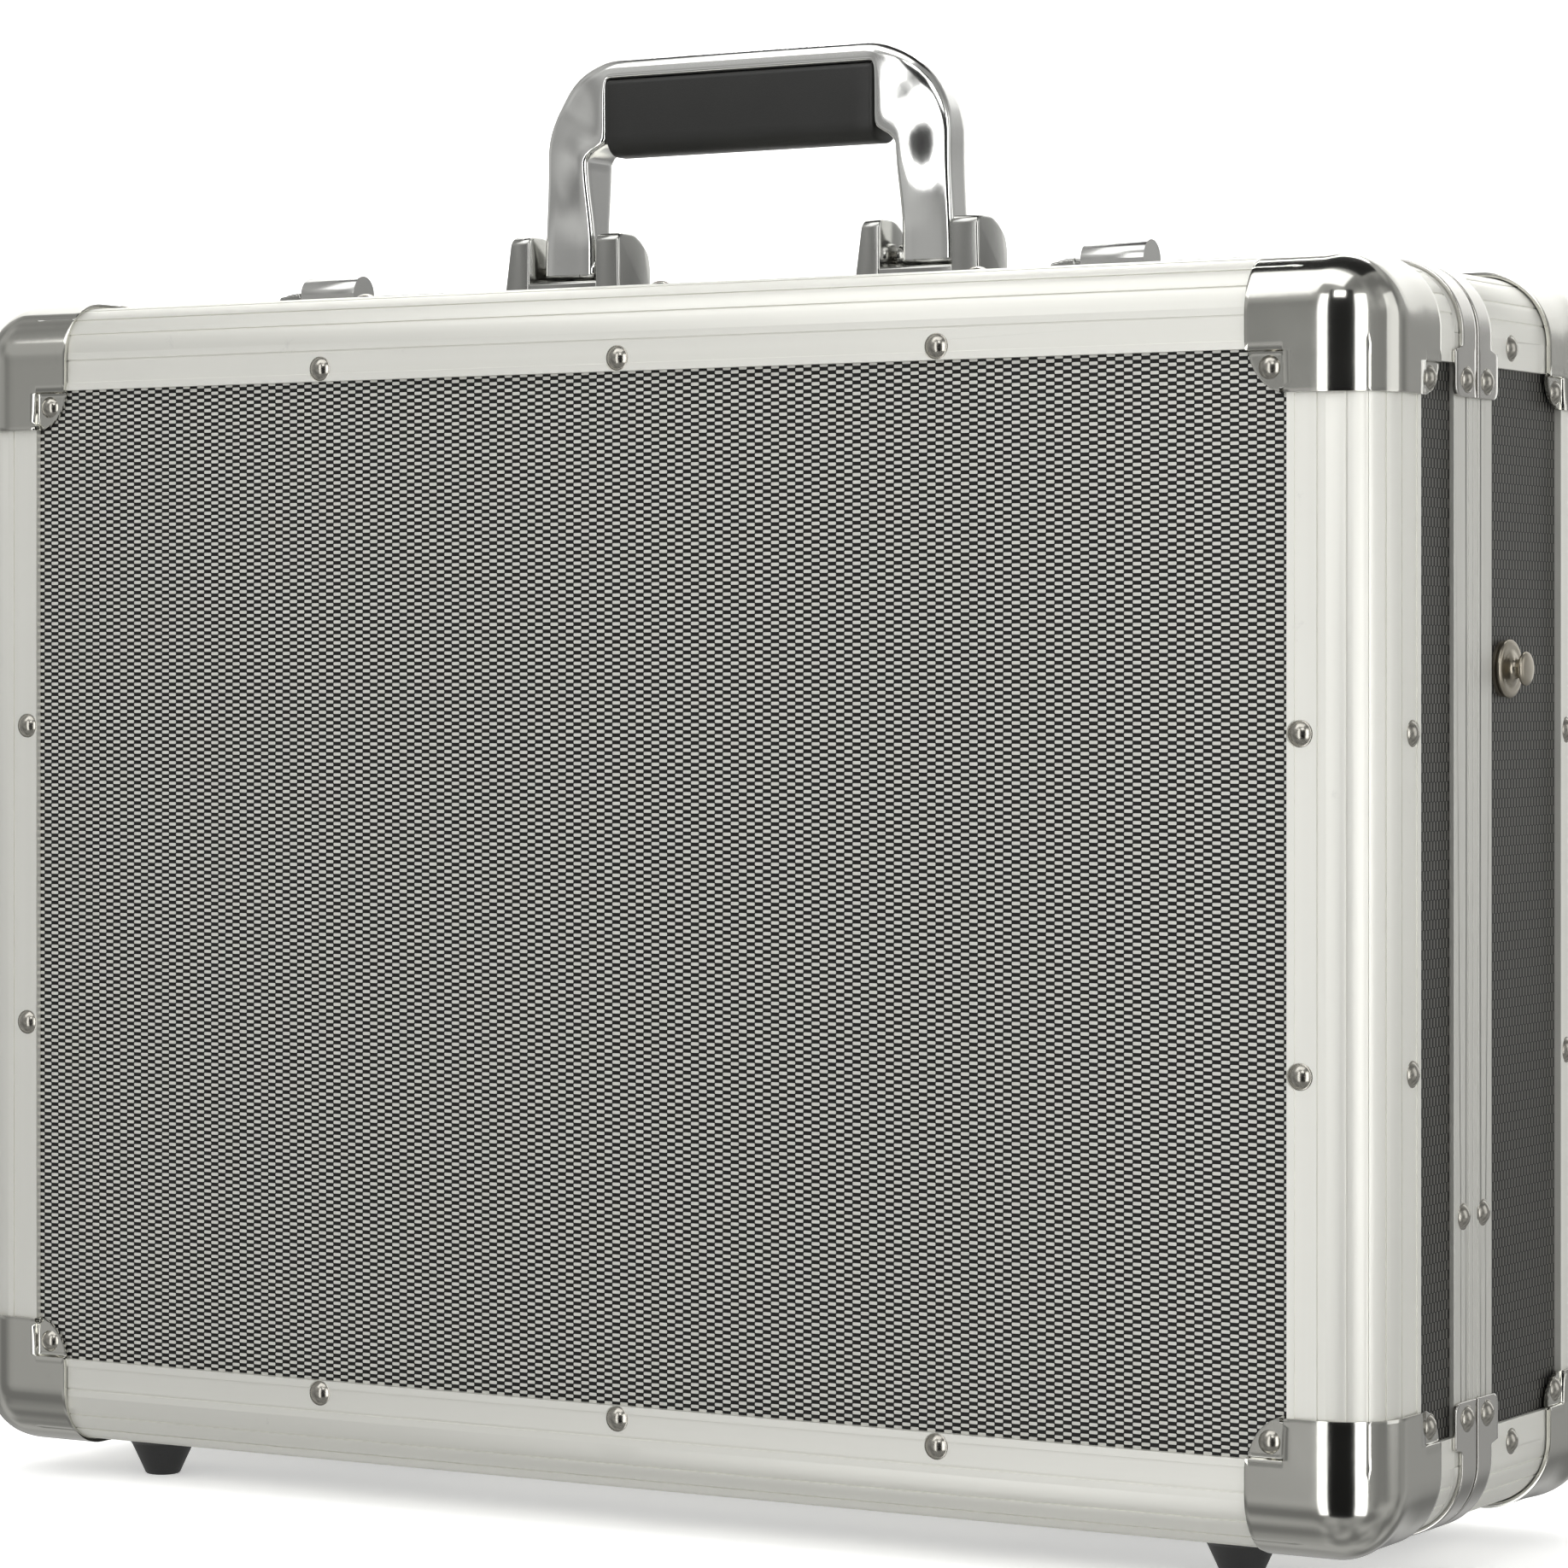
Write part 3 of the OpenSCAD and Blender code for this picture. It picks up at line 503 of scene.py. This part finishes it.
def corner_patch(kind):
    """One of the three faces of a ball corner: verts in mm inwards (x, y, z) and its quads."""
    if kind == "front":
        first, second = stops(REACH, STEP_FACE, 21.0), stops(REACH, STEP_FACE, 21.0)
        steps = (STEP_FACE, STEP_FACE)
    else:
        first, second = stops(REACH, STEP_DEPTH, 21.0), stops(REACH_Y, STEP_SIDE, 21.0)
        steps = (STEP_DEPTH, STEP_SIDE)
    verts = []
    for a in first:
        for b in second:
            u, v = a, b
            if kind == "front":
                t = min(0.985, max(0.0, (v - 22.0) / (REACH - 22.0)))
                if u > STEP_FACE:
                    u = STEP_FACE + (u - STEP_FACE) * math.sqrt(1 - t * t)
                point = (u, -OUT, v)
            else:
                t = min(0.985, max(0.0, (u - 27.5) / (REACH - 27.5)))
                if v > STEP_SIDE:
                    v = STEP_SIDE + (v - STEP_SIDE) * math.sqrt(1 - t * t)
                point = (-OUT, v, u) if kind == "side" else (u, v, -OUT)
            spot, normal = ball_point(*point)
            depth = smooth((a - steps[0]) / 0.6) * smooth((b - steps[1]) / 0.6)
            verts.append([s + EAR_DROP[kind] * depth * n for s, n in zip(spot, normal)])
    return verts, grid_faces(len(first), len(second))


def make_corners(node, body, face_y, inwards):
    parts = []
    for sx in (-1, 1):
        for sz in (-1, 1):
            for kind in ("front", "side", "top"):
                verts, faces = corner_patch(kind)
                placed = []
                for x, y, z in verts:
                    placed.append(Vector((
                        sx * (HALF_W - x * MM), face_y + inwards * y * MM,
                        (TOP_Z - z * MM) if sz > 0 else (LOW_Z + z * MM),
                    )))
                parts.append((placed, faces))
    verts, faces = merged(parts)
    piece = new_piece(f"{node}_pressed", verts, faces, CORNER, 60)
    face_out(piece, lambda c: Vector((math.copysign(HALF_W - 0.03, c.x), face_y + inwards * 0.03,
                                      TOP_Z - 0.03 if c.z > MID_Z else LOW_Z + 0.03)))
    thicken(piece, PLATE * MM, 0.3 * MM)
    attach(piece, body)
    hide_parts(node)


lid_face_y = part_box("lid_corners")[0].y + OUT * MM
base_face_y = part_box("base_corners")[1].y - OUT * MM
make_corners("lid_corners", "lid", lid_face_y, 1)
make_corners("base_corners", "base", base_face_y, -1)


# ---- Clips over the parting frame's elbows ----

CLIP_T, CLIP_R, CLIP_REACH = 1.2, 19.0, 36.0
CLIP_BAND, CLIP_EAR_W = 9.0, 13.4


def clip_path():
    """(position, outward normal, distance from the nearer end) along a clip, in mm from the corner."""
    straight = CLIP_REACH - CLIP_R
    marks = [0, 0.25, 0.8, 1.6, 2.6, 4, 6, 8, 10, 11.5, 12.3, 12.8, 13.2, 13.8, 14.8, 16, straight]
    leg = [((CLIP_REACH - m, 0.0), (0.0, 1.0), m) for m in marks]
    arc = []
    for i in range(1, 20):
        a = math.radians(90 * i / 20)
        arc.append(((CLIP_R - CLIP_R * math.sin(a), CLIP_R - CLIP_R * math.cos(a)),
                    (math.sin(a), math.cos(a)), 99.0))
    other = [((p[1], p[0]), (n[1], n[0]), m) for p, n, m in leg[::-1]]
    return leg + arc + other


def make_clips(node, body, edge_y, way):
    parts = []
    for sx in (-1, 1):
        for sz in (-1, 1):
            verts = []
            path = clip_path()
            for (px, pz), (nx, nz), end in path:
                width = CLIP_BAND + (CLIP_EAR_W - CLIP_BAND) * (1 - smooth((end - 12.2) / 1.2))
                tuck = 3.0 - math.sqrt(max(0.0, 9.0 - (3.0 - min(end, 3.0)) ** 2))
                for k in range(9):
                    y = edge_y + way * (width - tuck) * k / 8 * MM
                    x = sx * (HALF_W - (px - CLIP_T * nx) * MM)
                    z = pz - CLIP_T * nz
                    z = TOP_Z - z * MM if sz > 0 else LOW_Z + z * MM
                    verts.append(Vector((x, y, z)))
            parts.append((verts, grid_faces(len(path), 9)))
    piece = new_piece(f"{node}_pressed", *merged(parts), CLIP, 60)
    face_out(piece, lambda c: Vector((math.copysign(HALF_W - 0.03, c.x), c.y,
                                      TOP_Z - 0.03 if c.z > MID_Z else LOW_Z + 0.03)))
    thicken(piece, (CLIP_T - 0.02) * MM, 0.25 * MM)
    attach(piece, body)
    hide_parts(node)


make_clips("lid_clips", "lid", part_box("lid_clips")[1].y, -1)
make_clips("base_clips", "base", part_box("base_clips")[0].y, 1)


# ---- Handle ----

bow_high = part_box("handle_bow")[1]
BOW_TOP = bow_high.z / MM
PIVOT_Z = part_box("handle_pins")[0].z / MM + 2.0
PIVOT_Y = -1.0
LEG_IN, LEG_OUT = 52.0, 69.0
GRIP_HALF = 45.0
GRIP_TOP, GRIP_LOW = BOW_TOP - 6.3, BOW_TOP - 28.8
BOW_R = 27.0


def rounded_section(inner, outer, depths, radii, count=6):
    """Ring around a bar's section. inner and outer are (x, z); depths are the front and rear y on
    the inner side, then on the outer side; mm. radii are those of the outer-front, outer-rear,
    inner-rear and inner-front corners."""
    front, rear, front_out, rear_out = depths
    span = Vector((outer[0] - inner[0], outer[1] - inner[1]))
    width = span.length
    span.normalize()
    depth = rear - front
    ring = []
    corners = [(width, 0, -1, 1, -90), (width, depth, -1, -1, 0), (0, depth, 1, -1, 90), (0, 0, 1, 1, 180)]
    spots = []
    for (w, d, sw, sd, start), r in zip(corners, radii):
        r = min(r, 0.48 * width, 0.48 * depth)
        for i in range(count + 1):
            a = math.radians(start + 90 * i / count)
            spots.append((w + sw * r + r * math.cos(a), d + sd * r + r * math.sin(a)))
    # Points between the rounds, so that the faces can swell from one side to the other.
    full = []
    for i, (a, b) in enumerate(zip(spots, spots[1:] + spots[:1])):
        full.append(a)
        if i % (count + 1) == count:
            full += [(a[0] + (b[0] - a[0]) * k / 6, a[1] + (b[1] - a[1]) * k / 6) for k in range(1, 6)]
    for pw, pd in full:
        share = smooth(pw / width)
        low = front + (front_out - front) * share
        high = rear + (rear_out - rear) * share
        ring.append(Vector(((inner[0] + span.x * pw) * MM, (low + (high - low) * pd / depth) * MM,
                            (inner[1] + span.y * pw) * MM)))
    return ring


def bow_depths(z, z_out):
    """Front and rear y on the grip's side and on the outside of the bow: the grip's side is deeper."""
    rise = smooth((z - PIVOT_Z - 6) / (GRIP_LOW - PIVOT_Z - 6))
    over = smooth((z_out - BOW_TOP + 14) / 13)
    return -6.8 - 4.2 * rise, 3.2 + 1.6 * rise, -7.4 - 3.0 * over, 3.4 + 1.0 * over


def bow_stations():
    """(inner, outer) pairs of the right half, from the pivot up to the middle of the top."""
    pairs = []
    for i in range(15):
        z = PIVOT_Z - 1.0 + (GRIP_LOW - 1.5 - PIVOT_Z + 1.0) * i / 14
        pairs.append(((LEG_IN, z), (LEG_OUT - 1.2 * smooth((z - PIVOT_Z) / 30), z)))
    centre = (LEG_OUT - 1.2 - BOW_R, BOW_TOP - BOW_R)
    inner_path = [
        (LEG_IN - 0.2, GRIP_LOW - 0.6), (LEG_IN - 0.9, GRIP_LOW + 0.6), (LEG_IN - 2.4, GRIP_LOW + 1.8),
        (LEG_IN - 4.4, GRIP_LOW + 2.7), (GRIP_HALF + 0.9, GRIP_LOW + 3.6),
        (GRIP_HALF + 0.15, GRIP_LOW + 5.0), (GRIP_HALF, GRIP_LOW + 7), (GRIP_HALF, GRIP_LOW + 9.5),
        (GRIP_HALF, GRIP_LOW + 12),
        (GRIP_HALF, GRIP_LOW + 14.5), (GRIP_HALF, GRIP_LOW + 17), (GRIP_HALF, GRIP_LOW + 19),
        (GRIP_HALF, GRIP_TOP - 2), (GRIP_HALF, GRIP_TOP - 1), (GRIP_HALF - 0.3, GRIP_TOP - 0.3),
        (GRIP_HALF - 1.2, GRIP_TOP),
    ]
    count = len(inner_path)
    for i, inner in enumerate(inner_path):
        a = math.radians(-2 + 92 * ((i + 0.6) / (count - 0.4)))
        pairs.append((inner, (centre[0] + BOW_R * math.cos(a), centre[1] + BOW_R * math.sin(a))))
    for i in range(1, 14):
        x_in = (GRIP_HALF - 1.2) * (1 - i / 13)
        x_out = centre[0] * (1 - i / 13)
        pairs.append(((x_in, GRIP_TOP), (x_out, BOW_TOP)))
    return pairs


def make_bow():
    pairs = bow_stations()
    mirrored = [((-i[0], i[1]), (-o[0], o[1])) for i, o in pairs[:-1]]
    rings = []
    for inner, outer in pairs + mirrored[::-1]:
        at = max(inner[1], min(outer[1], inner[1] + 6))
        edge = 1.6 + 2.4 * smooth((outer[1] - GRIP_LOW) / 20)
        rings.append(rounded_section(inner, outer, bow_depths(at, outer[1]), (edge, edge, 1.6, 1.6)))
    parts = [loft(rings)]
    # Barrels at the feet of the legs, with a shoulder and a groove.
    for sx in (-1, 1):
        profile = [(2.2, 0), (3.9, 0), (4.2, 0.3), (4.2, 2.1), (4.4, 2.4), (5.3, 2.4), (5.6, 2.8),
                   (5.6, 6.6), (5.35, 6.8), (5.35, 7.3), (5.6, 7.5), (5.6, 18.9), (5.3, 19.3), (2.2, 19.3)]
        parts.append(lathe([(r * MM, h * MM) for r, h in profile],
                           (sx * 49.6 * MM, PIVOT_Y * MM, PIVOT_Z * MM), (sx, 0, 0), 36))
    piece = new_piece("handle_bow_cast", *merged(parts), HANDLE, 40)
    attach(piece, "handle")
    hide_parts("handle_bow")


def make_grip():
    rings = []
    ends = ((0.0, 1.1), (0.15, 0.55), (0.5, 0.15), (1.1, 0.0))
    stations = [(-GRIP_HALF + d, s) for d, s in ends]
    stations += [(-GRIP_HALF + 6 + 78 * i / 12, 0.0) for i in range(13)]
    stations += [(GRIP_HALF - d, s) for d, s in reversed(ends)]
    for x, inset in stations:
        ring = []
        low, high = GRIP_LOW + inset, GRIP_TOP - 0.15 - inset
        front, rear = -11.4 + inset, 4.4 - inset
        for (z, y, r, sz, sy, start) in (
            (high, front, 1.6, -1, 1, 90), (low, front, 6.0, 1, 1, 180),
            (low, rear, 6.0, 1, -1, 270), (high, rear, 1.6, -1, -1, 0),
        ):
            for i in range(8):
                a = math.radians(start + 90 * i / 7)
                ring.append(Vector((x * MM, (y + sy * r + r * math.cos(a)) * MM,
                                    (z + sz * r + r * math.sin(a)) * MM)))
        rings.append(ring)
    piece = new_piece("handle_grip_moulded", *loft(rings), GRIP, 50)
    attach(piece, "handle")
    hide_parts("handle_grip")


def bracket_part(sx, x_from, x_to, outline, rim, taper):
    """A slab of outline (y, z) from x_from to x_to, rims rounded, leaning in by taper at its top."""
    count = len(outline)
    centre_y = sum(y for y, z in outline) / count
    centre_z = sum(z for y, z in outline) / count
    way = math.copysign(rim, x_to - x_from)
    steps = [math.pi / 2 * k / 4 for k in range(5)]
    spots = [(x_from + way * (1 - math.cos(a)), rim * (1 - math.sin(a))) for a in steps]
    spots += [(x_to - way * (1 - math.cos(a)), rim * (1 - math.sin(a))) for a in steps[::-1]]
    rings = []
    for x, inset in spots:
        ring = []
        for y, z in outline:
            scale_y = 1 - inset / max(abs(y - centre_y), rim * 2)
            scale_z = 1 - inset / max(abs(z - centre_z), rim * 2)
            yy = centre_y + (y - centre_y) * scale_y
            zz = centre_z + (z - centre_z) * scale_z
            lean = taper * (max(0.0, zz - TOP_MM) / 20) ** 1.6 * (x - x_from) / (x_to - x_from)
            ring.append(Vector((sx * (x - lean) * MM, yy * MM, zz * MM)))
        rings.append(ring)
    return loft(rings)


TOP_MM = TOP_Z / MM


def cheek(height, front, rear, crown, back):
    points = [(front, 0.02), (front, height - crown)]
    points += [(front + crown * (1 - math.cos(a)), height - crown + crown * math.sin(a))
               for a in (math.pi / 2 * i / 6 for i in range(1, 7))]
    points += [(rear - back + back * math.sin(a), height - back + back * math.cos(a))
               for a in (math.pi / 2 * i / 14 for i in range(15))]
    points += [(rear, 0.02)]
    return [(y, TOP_MM + z) for y, z in points]


def make_brackets():
    for sx, side in ((-1, "left"), (1, "right")):
        parts = [
            bracket_part(sx, 71.0, 80.2, cheek(20, -12, 5.5, 2.5, 10.5), 0.8, 3.0 if sx < 0 else 0.5),
            bracket_part(sx, 48.0, 39.4, cheek(20, -12, 5.5, 2.5, 10.5), 0.8, -3.0 if sx > 0 else -0.5),
            bracket_part(sx, 47.6, 71.4, cheek(6.2, -12, -9.6, 0.9, 0.9), 0.2, 0),
            bracket_part(sx, 47.6, 71.4, cheek(2.5, -9.8, 5.4, 0.1, 0.6), 0.2, 0),
        ]
        node = f"handle_bracket_{side}"
        piece = new_piece(f"{node}_cast", *merged(parts), BRACKET, 40)
        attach(piece, "base")
        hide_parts(node)


make_bow()
make_grip()
make_brackets()


# ---- Strap studs ----

STUD_PROFILE = [
    (0.0, 7.7), (2.6, 7.68), (3.9, 7.55), (4.45, 7.25), (4.65, 6.8), (4.6, 6.45), (4.2, 6.15), (3.3, 5.95),
    (2.75, 5.6), (2.6, 5.1), (2.6, 4.5), (2.75, 4.0), (3.2, 3.4), (4.0, 3.05), (4.6, 2.9), (4.75, 2.8),
    (5.5, 2.8), (6.3, 2.8), (7.3, 2.78), (7.7, 2.6), (7.95, 2.25), (8.0, 1.8), (7.85, 1.5), (7.2, 1.35),
    (7.0, 1.1), (7.5, 0.9), (7.6, 0.1), (7.6, -0.2), (0.0, -0.2),
]


def make_studs():
    parts = []
    for low, high in solids_of(NODES["strap_studs"]):
        middle = (low + high) / 2
        sx = 1 if middle.x > 0 else -1
        tip = high.x if sx > 0 else low.x
        seat = (tip - sx * 7.7 * MM, middle.y, middle.z)
        parts.append(lathe([(r * MM, h * MM) for r, h in STUD_PROFILE], seat, (sx, 0, 0), 48))
    piece = new_piece("strap_studs_turned", *merged(parts), STUD, 50)
    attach(piece, "base")
    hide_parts("strap_studs")


make_studs()


# ---- Latches ----

SLIDER_ROUND = 0.9 * MM
SLIDER_RIBS, SLIDER_RIB_DEPTH = 5, 0.16 * MM
SLIDER_STATIONS = 32


def slider_top(t, low_z, height):
    """Height of the tab's top at a share t of its length: a rising wedge with ribs and eased ends."""
    rise = (0.72 + 0.28 * smooth(t / 0.75)) * (1 - 0.35 * smooth((0.08 - t) / 0.08))
    rib = SLIDER_RIB_DEPTH * (0.5 - 0.5 * math.cos(math.tau * SLIDER_RIBS * t)) if 0.1 < t < 0.9 else 0
    top = low_z + height * rise - rib
    return top - height * 0.25 * smooth((t - 0.94) / 0.06) if t > 0.94 else top


def make_slider(side):
    """Thumb tab: a low wedge with fine cross ribs on its sloping top."""
    low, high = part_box(f"latch_slider_{side}")
    turns = [math.pi / 2 * k / 5 for k in range(6)]
    rings = []
    for i in range(SLIDER_STATIONS + 1):
        t = i / SLIDER_STATIONS
        x = low.x + (high.x - low.x) * t
        top = slider_top(t, low.z, high.z - low.z)
        drops = [(SLIDER_ROUND * (1 - math.cos(a)), top - SLIDER_ROUND * (1 - math.sin(a))) for a in turns]
        ring = [(low.y, low.z)] + [(low.y + inset, z) for inset, z in drops]
        ring += [(high.y - inset, z) for inset, z in drops[::-1]] + [(high.y, low.z)]
        rings.append([Vector((x, y, z)) for y, z in ring])
    node = f"latch_slider_{side}"
    piece = new_piece(f"{node}_pressed", *loft(rings), LATCH, 40)
    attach(piece, f"slider_{side}")
    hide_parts(node)


make_slider("left")
make_slider("right")

for name, obj in NODES.items():
    for word, width in EDGE_ROUND.items():
        if word in name and obj.visible_get():
            soften(obj, width)
            break


# ---- Stage, lights and camera ----

def plane(name, corners, material):
    mesh = bpy.data.meshes.new(name)
    mesh.from_pydata(corners, [], [tuple(range(len(corners)))])
    obj = bpy.data.objects.new(name, mesh)
    bpy.context.scene.collection.objects.link(obj)
    mesh.materials.append(material)
    return obj


def stage_material(name, glow):
    s = Shader(name)
    s.set(Base_Color=(0.93, 0.93, 0.92, 1.0), Roughness=0.9)
    s.set(Emission_Color=(1.0, 1.0, 1.0, 1.0), Emission_Strength=glow)
    return s.material


def area_light(name, place, aim, size, power):
    light = bpy.data.lights.new(name, "AREA")
    light.shape = "RECTANGLE"
    light.size, light.size_y = size
    light.energy = power
    obj = bpy.data.objects.new(name, light)
    bpy.context.scene.collection.objects.link(obj)
    obj.location = place
    obj.rotation_euler = (Vector(aim) - Vector(place)).to_track_quat("-Z", "Y").to_euler()
    return obj


def make_camera():
    data = bpy.data.cameras.new("camera")
    data.lens = 120.17
    data.sensor_width = 36.0
    data.shift_y = -0.0703
    camera = bpy.data.objects.new("camera", data)
    bpy.context.scene.collection.objects.link(camera)
    camera.location = (0.7843, -1.3012, 0.2396)
    yaw = math.radians(30.776)
    camera.rotation_euler = (math.radians(90), 0, yaw)
    bpy.context.scene.camera = camera


def around(degrees, distance, height):
    """A place at a bearing from the near corner: 0 is +X and -90 is -Y."""
    a = math.radians(degrees)
    return (0.21 + distance * math.cos(a), -0.06 + distance * math.sin(a), height)


def make_world():
    """A pale room with slow changes of brightness, so that plated metal isn't one flat tone."""
    world = bpy.data.worlds.new("world")
    bpy.context.scene.world = world
    world.use_nodes = True
    tree = world.node_tree
    place = tree.nodes.new("ShaderNodeTexCoord")
    cloud = tree.nodes.new("ShaderNodeTexNoise")
    cloud.inputs["Scale"].default_value = 2.2
    cloud.inputs["Detail"].default_value = 1.0
    level = tree.nodes.new("ShaderNodeMapRange")
    for socket, value in (("From Min", 0.35), ("From Max", 0.65), ("To Min", 0.24), ("To Max", 0.56)):
        level.inputs[socket].default_value = value
    background = tree.nodes["Background"]
    background.inputs["Color"].default_value = (1, 1, 0.985, 1)
    tree.links.new(place.outputs["Generated"], cloud.inputs["Vector"])
    tree.links.new(cloud.outputs["Fac"], level.inputs["Value"])
    tree.links.new(level.outputs["Result"], background.inputs["Strength"])


ROOM = 9
WALLS = 12


def upright(name, start, end, low, high, material):
    """A vertical sheet between two places on the floor plan."""
    return plane(name, [(*start[:2], low), (*end[:2], low), (*end[:2], high), (*start[:2], high)], material)


def make_room():
    """Floor and far white walls. The walls are only seen: they neither light nor reflect."""
    floor = plane("floor", [(-ROOM, -ROOM, 0), (ROOM, -ROOM, 0), (ROOM, ROOM, 0), (-ROOM, ROOM, 0)],
                  stage_material("stage_floor", 0.42))
    floor.visible_glossy = False
    sky = stage_material("stage_sky", 1.0)
    posts = [(ROOM * math.cos(math.tau * i / WALLS), ROOM * math.sin(math.tau * i / WALLS))
             for i in range(WALLS + 1)]
    for i in range(WALLS):
        wall = upright(f"wall_{i}", posts[i], posts[i + 1], 0, 6, sky)
        wall.visible_glossy = wall.visible_diffuse = wall.visible_shadow = False


def make_cards():
    """White paper behind and dark flags in front and above, for the metal to reflect. Never seen."""
    backdrop = upright("backdrop", around(158, 2.2, 0), around(70, 3.2, 0), 0, 3,
                       stage_material("stage_paper", 0.35))
    dark = Shader("stage_flag")
    dark.set(Base_Color=(0.01, 0.01, 0.01, 1.0), Roughness=1.0)
    flag = upright("flag", around(-95, 2.3, 0), around(-49, 2.3, 0), -1.5, 2.2, dark.material)
    backdrop.visible_shadow = flag.visible_shadow = False
    above = [(-1.3, -0.35, 2.3), (1.3, -0.35, 2.3), (1.3, 1.0, 2.3), (-1.3, 1.0, 2.3)]
    flag_high = plane("flag_high", above, dark.material)
    for card in (backdrop, flag, flag_high):
        card.visible_camera = False


def make_lights():
    corner = (0.21, -0.06, 0.2)
    for name, place, aim, size, power in (
        ("strip_left", around(-103.2, 1.9, 0.2), corner, (0.5, 2.6), 10),
        ("strip_right", around(-37, 1.9, 0.2), corner, (0.7, 2.6), 17),
        ("side_fill", around(25, 1.8, 0.5), (0.236, 0.0, 0.2), (0.9, 1.4), 3.5),
        ("overhead", (-0.1, -0.75, 1.75), (0, -0.1, 0.2), (1.7, 0.8), 7),
        ("key_high", around(-132, 2.1, 2.0), corner, (1.0, 1.0), 5),
        ("window", around(-75, 1.6, 1.37), (0.21, -0.06, 0.33), (0.6, 0.36), 3),
        ("backdrop_wash", (-0.4, 1.0, 2.4), (-0.9, 2.2, 0.8), (2.0, 0.6), 40),
    ):
        area_light(name, place, aim, size, power)


make_camera()
make_room()
make_cards()
make_world()
make_lights()
bpy.context.scene.view_settings.view_transform = "Standard"
